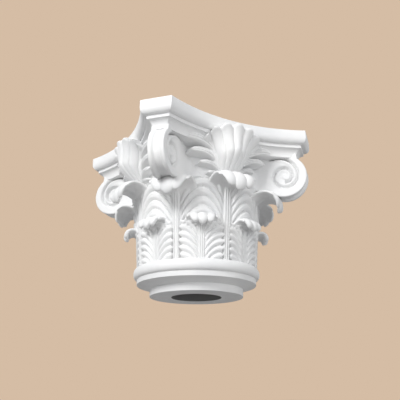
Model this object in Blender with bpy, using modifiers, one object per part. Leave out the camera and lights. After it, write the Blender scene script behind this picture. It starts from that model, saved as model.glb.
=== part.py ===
"""Corinthian column capital, moulded in one piece.

Metres, +Z up, front face towards -Y. The origin is on the axis, at the underside of the spigot.
"""

from math import asin, cos, pi, radians, sin, sqrt
from typing import NamedTuple

import bmesh
import bpy
from mathutils import Matrix, Vector

# Spigot, seat and astragal, where the capital meets the shaft
SPIGOT_RADIUS = 0.078
SPIGOT_HEIGHT = 0.012
BORE_RADIUS = 0.0415
SEAT_RADIUS = 0.100
SEAT_RISE = 0.0065
FILLET_HEIGHT = 0.0085
ASTRAGAL_THICKNESS = 0.018
ASTRAGAL_PROJECTION = 0.006

# Bell
BELL_RADIUS = 0.0965
BELL_LIP_RADIUS = 0.1135
BELL_FLARE_START = 0.090

# Abacus: four hollowed sides between cut corners
HEIGHT = 0.268
ABACUS_MID_SIDE = 0.132
ABACUS_SIDE_RADIUS = 0.2916
ABACUS_CORNER = 0.200
ABACUS_EDGE = 0.012
OVOLO_HEIGHT = 0.0105
OVOLO_PROJECTION = 0.008
ABACUS_STEP = 0.002
ABACUS_FILLET = 0.0055
COVE_HEIGHT = 0.014
COVE_PROJECTION = 0.010

# Leaves
LEAF_COUNT = 8
LEAF_RELIEF = 0.0055
LEAF_SHEET = 0.006
LEAF_SWELL = 0.0022
LEAFLET_SWEEP = 0.014
TIP_LOBE_LENGTH = 0.006
TIP_LOBE_RELIEF = 0.0024
TIP_SIDE_TRIM = 0.28
TIP_ROOT_DEPTH = 0.016
TIP_ROOT_DROP = 0.004
TIP_ROOT_SHARE = 0.3
TIP_STEPS = 3
TIP_SIDE_THINNING = 0.35
TIP_COLUMNS = (-1.0, -0.6, -0.25, 0.0, 0.25, 0.6, 1.0)

# Corner volutes
VOLUTE_EYE_REACH = 0.159
VOLUTE_EYE_HEIGHT = 0.1945
VOLUTE_RADIUS = 0.0368
VOLUTE_NECK_REACH = 0.179
VOLUTE_HALF_WIDTH = 0.0155
VOLUTE_TAPER_DEG = 4.0
SCROLL_START_DEG = 38.0
SCROLL_SWEEP_DEG = 160.0
STEM_LOW_HEIGHT = 0.176
STEM_SPREAD = 0.0175
STEM_SPREAD_LENGTH = 0.025
STRAP_RIM = 0.0065
STRAP_DEPTH = 0.0045
STRAP_WALL = 0.0012
GROOVE_WIDTH = 0.0034
GROOVE_DEPTH = 0.0026
GROOVE_OUTER_RADIUS = 0.0250
GROOVE_PITCH = 0.0100
GROOVE_TURNS = 1.75
GROOVE_LEAD_IN = 0.0145
GROOVE_START_DEG = -45.0
GROOVE_LEAD_END_DEG = 80.0

# Face shells
SHELL_BASE_HEIGHT = 0.173
SHELL_TOP_HEIGHT = 0.257
SHELL_SIDE_HEIGHT = 0.225
SHELL_BASE_HALF_WIDTH = 0.012
SHELL_WIDENING = 0.032
SHELL_FLARE = 0.007
SHELL_FLARE_POWER = 6
SHELL_BASE_REACH = 0.112
SHELL_SWELL = 0.033
SHELL_FRONT_FLARE = 0.008
SHELL_SIDE_REACH = 0.104
SHELL_SIDE_FLARE = 0.028
SHELL_BELLY_SHARE = 0.5
SHELL_BACK = 0.088
SHELL_RIBS = 7
SHELL_RIB_RELIEF = 0.0032
SHELL_SCALLOP = 0.035
SHELL_SCALLOP_SHARE = 0.6
SHELL_RIM_DROP = 0.005

# Sprays between shell and volute: root, bend and tip of the lowest and of the highest finger,
# each as distance from the face's middle, depth and height
SPRAY_FINGERS = 4
SPRAY_LOW = ((0.012, 0.108, 0.174), (0.026, 0.116, 0.184), (0.036, 0.106, 0.181))
SPRAY_HIGH = ((0.016, 0.112, 0.204), (0.048, 0.134, 0.2375), (0.089, 0.116, 0.2295))
SPRAY_LOW_HALF_WIDTH = 0.0034
SPRAY_HIGH_HALF_WIDTH = 0.0078
SPRAY_EDGE_DROP = 0.0025
SPRAY_ROOT_TAPER = 0.45
SPRAY_TAPER_GAIN = 0.75
SPRAY_END_SHARE = 0.03
SPRAY_BACK = 0.088
SPRAY_BACK_LEAD = 0.011

# Facets
ROUND_SEGMENTS = 48
STEM_STEPS = 3
ABACUS_SEGMENTS = 6
CURVE_SEGMENTS = 3
GROOVE_SEGMENTS = 9
BELL_STEPS = 4
SCROLL_STEPS = 10
SHELL_ROWS = (0.0, 0.35, 0.7, 0.93, 1.0)
SPRAY_ROWS = (0.0, 0.6, 1.0)

# Heights that follow from the sizes above
SEAT_TOP = SPIGOT_HEIGHT + SEAT_RISE
ASTRAGAL_BOTTOM = SEAT_TOP + FILLET_HEIGHT
BELL_BOTTOM = ASTRAGAL_BOTTOM + ASTRAGAL_THICKNESS
COVE_TOP = HEIGHT - ABACUS_EDGE - OVOLO_HEIGHT - ABACUS_FILLET
ABACUS_BOTTOM = COVE_TOP - COVE_HEIGHT
FACE_COUNT = 4
OVERLAP = 0.004
FLAT_ANGLE = 0.0005
JOINT_MERGE = 0.00002
FLAT_DEG = 3.0

PLASTER_WHITE = (0.86, 0.86, 0.85, 1.0)


class Leaf(NamedTuple):
    """The named sizes of one kind of leaf."""

    top: float
    rise_radius: float
    droop_radius: float
    droop_deg: float
    hang: float
    half_width: float
    tip_half_width: float
    leaflets: int


SHORT_LEAF = Leaf(
    top=0.1125, rise_radius=0.010, droop_radius=0.012, droop_deg=100.0, hang=0.006,
    half_width=0.027, tip_half_width=0.023, leaflets=4,
)
CORNER_LEAF = Leaf(
    top=0.168, rise_radius=0.026, droop_radius=0.021, droop_deg=110.0, hang=0.007,
    half_width=0.036, tip_half_width=0.033, leaflets=3,
)
FACE_LEAF = CORNER_LEAF._replace(top=0.177)


def smooth_step(value, start, end):
    """0 before start, 1 after end, and a smooth rise between."""
    share = min(max((value - start) / (end - start), 0.0), 1.0)
    return share * share * (3.0 - 2.0 * share)


def polar(radius, azimuth, height):
    """A point by its azimuth in radians, measured from the front towards +X."""
    return Vector((radius * sin(azimuth), -radius * cos(azimuth), height))


def bell_radius(height):
    rise = (height - BELL_FLARE_START) / (ABACUS_BOTTOM - BELL_FLARE_START)
    return BELL_RADIUS + (BELL_LIP_RADIUS - BELL_RADIUS) * min(max(rise, 0.0), 1.0) ** 2


def clear_scene():
    for item in list(bpy.data.objects):
        bpy.data.objects.remove(item)


def new_collection(name):
    collection = bpy.data.collections.new(name)
    bpy.context.scene.collection.children.link(collection)
    return collection


def new_object(name, work, collection):
    """An object from a bmesh, with flat faces that point out."""
    bmesh.ops.recalc_face_normals(work, faces=work.faces)
    bmesh.ops.connect_verts_nonplanar(work, angle_limit=FLAT_ANGLE, faces=work.faces)
    mesh = bpy.data.meshes.new(name)
    work.to_mesh(mesh)
    work.free()
    item = bpy.data.objects.new(name, mesh)
    collection.objects.link(item)
    return item


def as_guide(item):
    item.hide_render = True
    item.display_type = "WIRE"
    return item


def loft(name, sections, collection):
    """A closed solid through rings of points, with flat ends."""
    work = bmesh.new()
    rings = [[work.verts.new(point) for point in section] for section in sections]
    for lower, upper in zip(rings, rings[1:]):
        for i in range(len(lower)):
            work.faces.new((lower[i - 1], lower[i], upper[i], upper[i - 1]))
    work.faces.new(rings[0])
    work.faces.new(rings[-1])
    return new_object(name, work, collection)


def carved_plate(name, front, back, collection):
    """A closed solid between two grids of points that share their edges' order."""
    work = bmesh.new()
    sides = [[[work.verts.new(point) for point in row] for row in grid] for grid in (front, back)]
    for side in sides:
        for low, high in zip(side, side[1:]):
            for j in range(len(low) - 1):
                work.faces.new((low[j], low[j + 1], high[j + 1], high[j]))
    rims = [rim_of(side) for side in sides]
    for i in range(len(rims[0])):
        work.faces.new((rims[0][i - 1], rims[0][i], rims[1][i], rims[1][i - 1]))
    return new_object(name, work, collection)


def relief_block(name, front, flat_back, collection):
    """A closed solid with a carved front and one flat face behind; flat_back gives a point's place there."""
    work = bmesh.new()
    grid = [[work.verts.new(point) for point in row] for row in front]
    for low, high in zip(grid, grid[1:]):
        for j in range(len(low) - 1):
            work.faces.new((low[j], low[j + 1], high[j + 1], high[j]))
    rim = rim_of(grid)
    behind = [work.verts.new(flat_back(corner.co)) for corner in rim]
    for i in range(len(rim)):
        work.faces.new((rim[i - 1], rim[i], behind[i], behind[i - 1]))
    work.faces.new(behind)
    return new_object(name, work, collection)


def rim_of(grid):
    """The grid's outer points, in order around it."""
    right = [row[-1] for row in grid[1:-1]]
    left = [row[0] for row in grid[1:-1]]
    return grid[0] + right + grid[-1][::-1] + left[::-1]


def turned_core(name, collection):
    """Spigot, seat, fillet, astragal and bell as one turned profile."""
    profile = [(0.0, ABACUS_BOTTOM + OVERLAP), (BELL_LIP_RADIUS, ABACUS_BOTTOM + OVERLAP)]
    for i in range(BELL_STEPS + 1):
        height = ABACUS_BOTTOM + (BELL_BOTTOM - ABACUS_BOTTOM) * i / BELL_STEPS
        profile.append((bell_radius(height), height))
    profile += astragal_profile()
    profile += [(SEAT_RADIUS, SEAT_TOP), (SPIGOT_RADIUS, SPIGOT_HEIGHT), (SPIGOT_RADIUS, 0.0), (0.0, 0.0)]
    mesh = bpy.data.meshes.new(name)
    points = [(radius, 0.0, height) for radius, height in profile]
    mesh.from_pydata(points, [(i, i + 1) for i in range(len(points) - 1)], [])
    core = bpy.data.objects.new(name, mesh)
    collection.objects.link(core)
    turn = core.modifiers.new("turn", "SCREW")
    turn.steps = turn.render_steps = ROUND_SEGMENTS
    turn.use_merge_vertices = True
    turn.merge_threshold = 0.00001
    turn.use_smooth_shade = False
    return core


def astragal_profile():
    """The round moulding above the fillet, from its top down."""
    steps = 2 * CURVE_SEGMENTS
    half = ASTRAGAL_THICKNESS / 2
    points = []
    for i in range(steps + 1):
        turn = pi * i / steps
        points.append((SEAT_RADIUS + ASTRAGAL_PROJECTION * sin(turn), ASTRAGAL_BOTTOM + half * (1 + cos(turn))))
    return points


def abacus_level(inset, height):
    """One level of the abacus, drawn in from the top outline by inset."""
    centre = ABACUS_MID_SIDE + ABACUS_SIDE_RADIUS
    radius = ABACUS_SIDE_RADIUS + inset
    reach = sqrt(2) * (ABACUS_CORNER - inset) - centre
    half_turn = pi / 4 + asin(reach / (sqrt(2) * radius))
    points = []
    for face in range(FACE_COUNT):
        spin = Matrix.Rotation(2 * pi * face / FACE_COUNT, 3, "Z")
        for i in range(ABACUS_SEGMENTS + 1):
            turn = half_turn * (2 * i / ABACUS_SEGMENTS - 1)
            points.append(spin @ Vector((radius * sin(turn), radius * cos(turn) - centre, height)))
    return points


def abacus(name, collection):
    """Straight edge, ovolo, fillet and cove, stacked from the top down."""
    fillet_top = HEIGHT - ABACUS_EDGE - OVOLO_HEIGHT
    fillet_inset = OVOLO_PROJECTION + ABACUS_STEP
    levels = [(0.0, HEIGHT)]
    for i in range(CURVE_SEGMENTS + 1):
        turn = pi / 2 * i / CURVE_SEGMENTS
        levels.append((OVOLO_PROJECTION * (1 - cos(turn)), HEIGHT - ABACUS_EDGE - OVOLO_HEIGHT * sin(turn)))
    levels.append((fillet_inset, fillet_top))
    for i in range(CURVE_SEGMENTS + 1):
        turn = pi / 2 * i / CURVE_SEGMENTS
        levels.append((fillet_inset + COVE_PROJECTION * sin(turn), COVE_TOP - COVE_HEIGHT * (1 - cos(turn))))
    return loft(name, [abacus_level(inset, height) for inset, height in levels], collection)


def leaf_spine(leaf, run):
    """Radius, height and turn of the leaf's outer face at a length past the point where it leaves the bell.

    The turn is 0 where the leaf stands upright, 90 degrees where it points outwards and 180 where it hangs.
    """
    wall_top = leaf.top - LEAF_SHEET - leaf.rise_radius
    rise = leaf.rise_radius * pi / 2
    inner = leaf.droop_radius - LEAF_SHEET
    start = bell_radius(wall_top) + LEAF_RELIEF
    if run <= rise:
        turn = run / leaf.rise_radius
        return start + leaf.rise_radius * (1 - cos(turn)), wall_top + leaf.rise_radius * sin(turn), turn
    turn = pi / 2 + min((run - rise) / inner, radians(leaf.droop_deg))
    hang = max(run - rise - inner * radians(leaf.droop_deg), 0.0)
    radius = start + leaf.rise_radius - inner * cos(turn) + hang * sin(turn)
    return radius, wall_top + leaf.rise_radius - inner + inner * sin(turn) + hang * cos(turn), turn


def tip_length(leaf):
    """Length of the outer face from the bell to the lip."""
    return leaf.rise_radius * pi / 2 + (leaf.droop_radius - LEAF_SHEET) * radians(leaf.droop_deg) + leaf.hang


def tip_point(leaf, share, across, azimuth, behind, sunk):
    """A point of an overturned tip: share along it, across from -1 to 1, depth behind its outer face.

    A sunk point is drawn in, under the sleeve.
    """
    length = tip_length(leaf)
    lobe = abs(cos(2 * pi * across))
    trim = (TIP_LOBE_LENGTH * (1 - lobe) + TIP_SIDE_TRIM * length * across * across) * share * share
    radius, height, turn = leaf_spine(leaf, share * length - trim)
    radius -= behind * cos(turn) + TIP_ROOT_DEPTH * sunk
    height += behind * sin(turn) - TIP_ROOT_DROP * sunk
    half_width = leaf.half_width + (leaf.tip_half_width - leaf.half_width) * share
    return polar(radius, azimuth + across * half_width / radius, height)


def leaf_tip(name, leaf, azimuth, collection):
    """The closed, lobed end of a leaf, bent out and down from the sleeve."""
    front = []
    back = []
    steps = [TIP_ROOT_SHARE + (1 - TIP_ROOT_SHARE) * i / TIP_STEPS for i in range(TIP_STEPS + 1)]
    for share, sunk in [(TIP_ROOT_SHARE, 1.0)] + [(step, 0.0) for step in steps]:
        row = []
        row_back = []
        for across in TIP_COLUMNS:
            lobe = TIP_LOBE_RELIEF * (abs(cos(2 * pi * across)) - 0.5) * share
            thin = LEAF_SHEET * (1 - TIP_SIDE_THINNING * share * across * across)
            row.append(tip_point(leaf, share, across, azimuth, 0.0, sunk))
            row_back.append(tip_point(leaf, share, across, azimuth, thin + lobe, sunk))
        front.append(row)
        back.append(row_back)
    return as_guide(carved_plate(name, front, back, collection))


def sleeve_columns():
    """Where the sleeve's columns lie across half a leaf spacing, and each one's relief in both tiers.

    Each entry is the share of the way from a short leaf's axis to the next tall leaf's axis, then plain
    relief and ridge relief in the lower tier, then the same in the upper tier.
    """
    return (
        (0.00, 1.15, 0.00, 0.20, 0.00),
        (0.18, 0.70, 0.10, 0.80, 0.30),
        (0.56, 0.90, 0.45, 0.95, 0.45),
        (0.82, 0.20, 0.00, 0.65, 0.00),
        (1.00, 0.85, 0.00, 1.15, 0.00),
    )


def sleeve_row(low, high, share, ridge, tier, end):
    """One ring of the sleeve of leaves: rows dip at a leaf's midrib and rise to its edges."""
    height_here = low + (high - low) * share
    half = sleeve_columns()
    ring = []
    spacing = pi / LEAF_COUNT
    for i in range(2 * LEAF_COUNT):
        entries = half[:-1] if i % 2 == 0 else half[:0:-1]
        for place, *reliefs in entries:
            side = place if tier == 0 else 1 - place
            dip = LEAFLET_SWEEP * (1 - sqrt(2 * side - side * side)) * sin(pi * share)
            height = height_here - dip
            relief = LEAF_RELIEF * (reliefs[2 * tier] + reliefs[2 * tier + 1] * ridge)
            relief += LEAF_SWELL * (1.0 if tier else 2 * share - 1)
            relief = relief * (1 - end) - OVERLAP * end
            offset = place if i % 2 == 0 else 1 - place
            azimuth = spacing * (i + 1 + offset)
            ring.append(polar(bell_radius(height) + relief, azimuth, height))
    return ring


def leaf_sleeve(name, collection):
    """Both tiers of leaves where they lie on the bell, as one ring of ridged leaflets."""
    tiers = (
        (BELL_BOTTOM - OVERLAP, SHORT_LEAF.top - SHORT_LEAF.rise_radius, SHORT_LEAF.leaflets),
        (SHORT_LEAF.top - SHORT_LEAF.rise_radius, CORNER_LEAF.top, CORNER_LEAF.leaflets),
    )
    rings = []
    for tier, (low, high, leaflets) in enumerate(tiers):
        count = 2 * leaflets
        for i in range(count + 1 if tier else count):
            ridge = 1.0 if i % 2 else -1.0
            rings.append(sleeve_row(low, high, i / count, ridge, tier, float(tier and i == count)))
    return as_guide(loft(name, rings, collection))


def volute_half_width(reach):
    """Half the volute's width at a distance from the axis along the diagonal."""
    end = VOLUTE_EYE_REACH - VOLUTE_RADIUS
    width = VOLUTE_HALF_WIDTH - (reach - VOLUTE_EYE_REACH) * sin(radians(VOLUTE_TAPER_DEG))
    if reach < end:
        width += STEM_SPREAD * ((end - reach) / STEM_SPREAD_LENGTH) ** 3
    return width


def volute_outline():
    """Reach and height of the points around one volute: over the top, round the scroll, back below.

    The first and the last STEM_STEPS + 1 points are the stem's upper and lower edge.
    """
    root = BELL_RADIUS
    end = VOLUTE_EYE_REACH - VOLUTE_RADIUS
    stem = [root + (end - root) * i / STEM_STEPS for i in range(STEM_STEPS + 1)]
    top = COVE_TOP - OVERLAP / 2
    around = []
    for i in range(SCROLL_STEPS + 1):
        turn = radians(SCROLL_START_DEG + SCROLL_SWEEP_DEG * i / SCROLL_STEPS)
        around.append((
            VOLUTE_EYE_REACH + VOLUTE_RADIUS * sin(turn),
            VOLUTE_EYE_HEIGHT + VOLUTE_RADIUS * cos(turn),
        ))
    slope = (around[-1][1] - STEM_LOW_HEIGHT) / (around[-1][0] - root)
    lower = [(reach, STEM_LOW_HEIGHT + slope * (reach - root)) for reach in stem]
    return [(reach, top) for reach in stem] + [(VOLUTE_NECK_REACH, top)] + around + lower[::-1]


def volute_body(name, azimuth, collection):
    """Two scroll faces with a sunk strap between their rims."""
    outline = volute_outline()
    eye = Vector((VOLUTE_EYE_REACH, VOLUTE_EYE_HEIGHT))
    work = bmesh.new()
    rings = []
    channel = STRAP_RIM + STRAP_WALL
    for side, inset, depth in (
        (1, 0, 0), (1, STRAP_RIM, 0), (1, channel, STRAP_DEPTH),
        (-1, channel, STRAP_DEPTH), (-1, STRAP_RIM, 0), (-1, 0, 0),
    ):
        ring = []
        for reach, height in outline:
            sunk = depth * smooth_step(reach, eye.x - VOLUTE_RADIUS, eye.x)
            inward = (eye - Vector((reach, height))).normalized() * sunk
            across = side * (volute_half_width(reach) - inset)
            ring.append(work.verts.new((reach + inward.x, across, height + inward.y)))
        rings.append(ring)
    for near, far in zip(rings, rings[1:]):
        for i in range(len(near)):
            work.faces.new((near[i - 1], near[i], far[i], far[i - 1]))
    for ring in (rings[0], rings[-1]):
        for i in range(STEM_STEPS):
            work.faces.new((ring[i], ring[i + 1], ring[-2 - i], ring[-1 - i]))
        work.faces.new(ring[STEM_STEPS:len(ring) - STEM_STEPS])
    body = new_object(name, work, collection)
    body.matrix_world = Matrix.Rotation(azimuth - pi / 2, 4, "Z")
    return as_guide(body)


def groove_path():
    """The scroll's spiral groove, from the stem in to the eye, around the eye."""
    points = []
    count = round(GROOVE_TURNS * GROOVE_SEGMENTS)
    for i in range(count + 1):
        turn = radians(GROOVE_START_DEG) + 2 * pi * i / GROOVE_SEGMENTS
        lead = max(radians(GROOVE_LEAD_END_DEG) - turn, 0) / radians(GROOVE_LEAD_END_DEG - GROOVE_START_DEG)
        radius = GROOVE_OUTER_RADIUS - GROOVE_PITCH * turn / (2 * pi) + GROOVE_LEAD_IN * lead ** 2
        points.append((turn, radius))
    return points


def groove_cutter(name, azimuth, side, collection):
    """A three-sided bar that follows the spiral along one scroll face."""
    sections = []
    taper = sin(radians(VOLUTE_TAPER_DEG))
    for turn, radius in groove_path():
        ring = []
        for outward, lift in ((-0.5, 1.0), (0.5, 1.0), (0.0, -1.0)):
            far = radius + outward * GROOVE_WIDTH * (1 + lift)
            reach = VOLUTE_EYE_REACH + far * sin(turn)
            height = VOLUTE_EYE_HEIGHT + far * cos(turn)
            width = VOLUTE_HALF_WIDTH - (reach - VOLUTE_EYE_REACH) * taper
            ring.append(Vector((reach, side * (width + lift * GROOVE_DEPTH), height)))
        sections.append(ring)
    cutter = loft(name, sections, collection)
    cutter.matrix_world = Matrix.Rotation(azimuth - pi / 2, 4, "Z")
    return as_guide(cutter)


def shell_point(outward, across, ridge):
    """A point of the front shell: outward from its base to its rim, across from -1 to 1.

    The ribs rise close together from the base and flare out to the rim.
    """
    turn = pi / 2 * across
    top = SHELL_SIDE_HEIGHT + (SHELL_TOP_HEIGHT - SHELL_SIDE_HEIGHT) * cos(turn)
    height = SHELL_BASE_HEIGHT + (top - SHELL_BASE_HEIGHT) * outward
    flare = outward ** SHELL_FLARE_POWER
    half_width = SHELL_BASE_HALF_WIDTH + SHELL_WIDENING * outward + SHELL_FLARE * flare
    side = SHELL_SIDE_REACH + SHELL_SIDE_FLARE * flare
    belly = SHELL_SWELL * smooth_step(outward, 0.0, SHELL_BELLY_SHARE)
    front = SHELL_BASE_REACH + belly + SHELL_FRONT_FLARE * flare
    relief = SHELL_RIB_RELIEF * ridge * outward
    return Vector(((half_width + relief) * sin(turn), -side - (front - side + relief) * cos(turn), height))


def shell_body(name, azimuth, collection):
    """A scallop of rounded ribs, fanned over the abacus."""
    count = 2 * SHELL_RIBS
    front = []
    for outward in SHELL_ROWS:
        row = []
        for i in range(count + 1):
            ridge = 1.0 if i % 2 else -1.0
            end = outward * (1 + SHELL_SCALLOP * (ridge - 1) * smooth_step(outward, SHELL_SCALLOP_SHARE, 1.0))
            point = shell_point(end, 2 * i / count - 1, ridge)
            point.y += SHELL_RIM_DROP * smooth_step(outward, SHELL_ROWS[-2], 1.0)
            row.append(point)
        front.append(row)
    body = relief_block(name, front, lambda point: Vector((point.x, -SHELL_BACK, point.z)), collection)
    body.matrix_world = Matrix.Rotation(azimuth, 4, "Z")
    return as_guide(body)


def spray_finger(name, azimuth, side, rise, collection):
    """One bent leaflet between shell and scroll, from the lowest at rise 0 to the highest at 1."""
    root, bend, tip = (Vector(low).lerp(Vector(high), rise) for low, high in zip(SPRAY_LOW, SPRAY_HIGH))
    half_width = SPRAY_LOW_HALF_WIDTH + rise * (SPRAY_HIGH_HALF_WIDTH - SPRAY_LOW_HALF_WIDTH)
    front = []
    back = []
    for along in SPRAY_ROWS:
        line = root * (1 - along) ** 2 + bend * 2 * along * (1 - along) + tip * along ** 2
        heading = (bend - root) * (1 - along) + (tip - bend) * along
        heading /= sqrt(heading.x ** 2 + heading.z ** 2)
        taper = (SPRAY_ROOT_TAPER + SPRAY_TAPER_GAIN * along) * sqrt(max(1 - along ** 4, SPRAY_END_SHARE))
        step = half_width * taper
        row = []
        row_back = []
        for across, drop in ((-1, 1.0), (0, 0.0), (1, 1.0)):
            x = line.x - across * step * heading.z
            z = line.z + across * step * heading.x
            row.append(Vector((side * x, -line.y + SPRAY_EDGE_DROP * drop, z)))
            row_back.append(Vector((side * x, -max(SPRAY_BACK, x + SPRAY_BACK_LEAD), z)))
        front.append(row)
        back.append(row_back)
    body = carved_plate(name, front, back, collection)
    body.matrix_world = Matrix.Rotation(azimuth, 4, "Z")
    return as_guide(body)


def bore_cutter(name, collection):
    work = bmesh.new()
    bmesh.ops.create_cone(
        work, cap_ends=True, segments=ROUND_SEGMENTS, radius1=BORE_RADIUS, radius2=BORE_RADIUS,
        depth=HEIGHT + 2 * OVERLAP, matrix=Matrix.Translation((0, 0, HEIGHT / 2)),
    )
    return as_guide(new_object(name, work, collection))


def boolean(item, name, operation, collection):
    change = item.modifiers.new(name, "BOOLEAN")
    change.operation = operation
    change.solver = "EXACT"
    change.operand_type = "COLLECTION"
    change.collection = collection
    return change


def tidy_joints(item):
    """Merges points that the joins left closer than the mould could show, and faces that are as good as flat."""
    weld = item.modifiers.new("weld", "WELD")
    weld.merge_threshold = JOINT_MERGE
    flatten = item.modifiers.new("flatten", "DECIMATE")
    flatten.decimate_type = "DISSOLVE"
    flatten.angle_limit = radians(FLAT_DEG)


def plaster():
    material = bpy.data.materials.new("moulded_white")
    material.use_nodes = True
    shader = material.node_tree.nodes["Principled BSDF"]
    shader.inputs["Base Color"].default_value = PLASTER_WHITE
    shader.inputs["Roughness"].default_value = 0.6
    shader.inputs["Metallic"].default_value = 0.0
    return material


def build():
    clear_scene()
    parts = new_collection("corinthian_capital")
    carving = new_collection("carving")
    cuts = new_collection("cuts")
    capital = turned_core("capital", parts)
    as_guide(abacus("abacus_block", carving))
    leaf_sleeve("leaf_sleeve", carving)
    for i in range(LEAF_COUNT):
        centre = 2 * pi * i / LEAF_COUNT
        tall = CORNER_LEAF if i % 2 else FACE_LEAF
        leaf_tip(f"tall_tip_{i}", tall, centre, carving)
        leaf_tip(f"short_tip_{i}", SHORT_LEAF, centre + pi / LEAF_COUNT, carving)
    for i in range(FACE_COUNT):
        face = 2 * pi * i / FACE_COUNT
        corner = face + pi / FACE_COUNT
        shell_body(f"shell_{i}", face, carving)
        volute_body(f"volute_{i}", corner, carving)
        for side in (-1, 1):
            groove_cutter(f"groove_{i}_{side}", corner, side, cuts)
            for finger in range(SPRAY_FINGERS):
                spray_finger(f"spray_{i}_{side}_{finger}", face, side, finger / (SPRAY_FINGERS - 1), carving)
    bore_cutter("bore", cuts)
    boolean(capital, "carving", "UNION", carving)
    boolean(capital, "cuts", "DIFFERENCE", cuts)
    tidy_joints(capital)
    capital.data.materials.append(plaster())


build()
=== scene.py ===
"""Looks of the corinthian capital: its carving, its white surface, the light and the camera.

Metres, +Z up, front face towards -Y, with the origin on the axis at the underside of the spigot.
Grids of points are arrays with the last index for x, y and z.
"""

from math import asin, cos, pi, radians, sin, sqrt
from typing import NamedTuple

import bmesh
import bpy
import numpy as np
from mathutils import Matrix, Vector

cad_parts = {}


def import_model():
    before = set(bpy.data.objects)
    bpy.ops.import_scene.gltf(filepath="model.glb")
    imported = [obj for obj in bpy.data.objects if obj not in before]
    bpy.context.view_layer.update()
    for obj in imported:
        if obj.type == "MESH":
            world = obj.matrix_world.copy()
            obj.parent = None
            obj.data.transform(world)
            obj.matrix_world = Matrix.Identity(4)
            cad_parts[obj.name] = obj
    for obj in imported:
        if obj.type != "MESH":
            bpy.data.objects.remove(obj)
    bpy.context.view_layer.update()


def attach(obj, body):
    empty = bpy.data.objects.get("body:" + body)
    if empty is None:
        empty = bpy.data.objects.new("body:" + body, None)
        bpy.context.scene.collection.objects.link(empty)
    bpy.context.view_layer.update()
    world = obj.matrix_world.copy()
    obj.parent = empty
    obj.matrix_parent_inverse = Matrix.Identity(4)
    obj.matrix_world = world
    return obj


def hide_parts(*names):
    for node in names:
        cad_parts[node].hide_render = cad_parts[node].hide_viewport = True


# Turned core, as in the solids
SPIGOT_RADIUS = 0.078
SPIGOT_HEIGHT = 0.012
BORE_RADIUS = 0.0415
SEAT_RADIUS = 0.100
SEAT_RISE = 0.0065
FILLET_HEIGHT = 0.0085
ASTRAGAL_THICKNESS = 0.018
ASTRAGAL_PROJECTION = 0.006
BELL_RADIUS = 0.0965
BELL_LIP_RADIUS = 0.1135
BELL_FLARE_START = 0.090
SEAT_TOP = SPIGOT_HEIGHT + SEAT_RISE
ASTRAGAL_BOTTOM = SEAT_TOP + FILLET_HEIGHT
BELL_BOTTOM = ASTRAGAL_BOTTOM + ASTRAGAL_THICKNESS
EDGE_ROUND = 0.0006
EASED_FROM_DEG = 25.0
EASED_SHARE = 0.4
ASTRAGAL_STEPS = 20
BELL_STEPS = 12
CORE_SEGMENTS = 192

# Abacus
HEIGHT = 0.268
ABACUS_MID_SIDE = 0.132
ABACUS_SIDE_RADIUS = 0.2916
ABACUS_CORNER = 0.200
ABACUS_EDGE = 0.012
OVOLO_HEIGHT = 0.0105
OVOLO_PROJECTION = 0.008
ABACUS_STEP = 0.002
ABACUS_FILLET = 0.0055
COVE_HEIGHT = 0.014
COVE_PROJECTION = 0.010
COVE_TOP = HEIGHT - ABACUS_EDGE - OVOLO_HEIGHT - ABACUS_FILLET
ABACUS_BOTTOM = COVE_TOP - COVE_HEIGHT
ABACUS_TOP_ROUND = 0.0008
ABACUS_TOP_CHAMFER_SHARE = 0.3
ABACUS_SIDE_POINTS = 49
ABACUS_MOULDING_POINTS = 11

# Leaves where they lie on the bell
LEAF_COUNT = 8
LEAF_RELIEF = 0.0055
LEAF_GROUND = 0.0006
LEAF_SHEET = 0.006
LEAF_SWELL = 0.0022
SLEEVE_FOOT_LAP = 0.004
SLEEVE_SPLIT = 0.108
SLEEVE_TOP = 0.174
SLEEVE_SUNK = 0.004
SLEEVE_ROWS = 80
SLEEVE_COLUMNS = 800
VEIN_BEND = 2.3
LEAFLET_POWER = 0.8
LEAFLET_START = 0.06
LEAFLET_FULL = 0.30
SIDE_RISE_POWER = 1.5
MIDRIB_FLAT_SHARE = 0.75
MIDRIB_FOOT_SHARE = 1.15
MIDRIB_LINE_PLACE = 0.42
MIDRIB_LINE_WIDTH = 0.11
MIDRIB_LINE_DEPTH = 0.34

# Short leaves, and the tall leaves' ribs between them
SHORT_PITCH = 0.0108
SHORT_SWEEP = 0.030
SHORT_HALF_WIDTH = 0.0325
SHORT_BELLY = 0.0025
SHORT_NARROWING = 0.003
SHORT_NARROWING_POWER = 6
SHORT_EDGE_SHARE = 0.90
SHORT_EDGE_WAVE = 0.12
SHORT_EDGE_BLUR = 0.0009
SHORT_WEB = 0.0018
SHORT_SIDE_RISE = 0.0024
SHORT_LEAFLET_RELIEF = 0.0042
SHORT_MIDRIB_RELIEF = 0.0052
SHORT_MIDRIB_HALF_WIDTH = 0.0042
SHORT_FADE_START = 0.012
SHORT_FADE_END = 0.004
RIB_RELIEF = 0.0072
RIB_HALF_WIDTH = 0.0052

# Tall leaves above the short ones
TALL_PITCH = 0.0145
TALL_SWEEP = 0.050
TALL_COUNT_START = 0.100
TALL_OPEN_START = 0.080
TALL_OPEN_END = 0.106
TALL_FOOT_HALF_WIDTH = 0.006
TALL_WIDENING = 0.0375
TALL_EDGE_SHARE = 0.95
TALL_EDGE_WAVE = 0.06
TALL_EDGE_BLUR = 0.0010
TALL_WEB = 0.0020
TALL_SIDE_RISE = 0.0028
TALL_LEAFLET_RELIEF = 0.0044
TALL_FINE_RELIEF = 0.0009
TALL_FINE_POWER = 0.6

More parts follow.
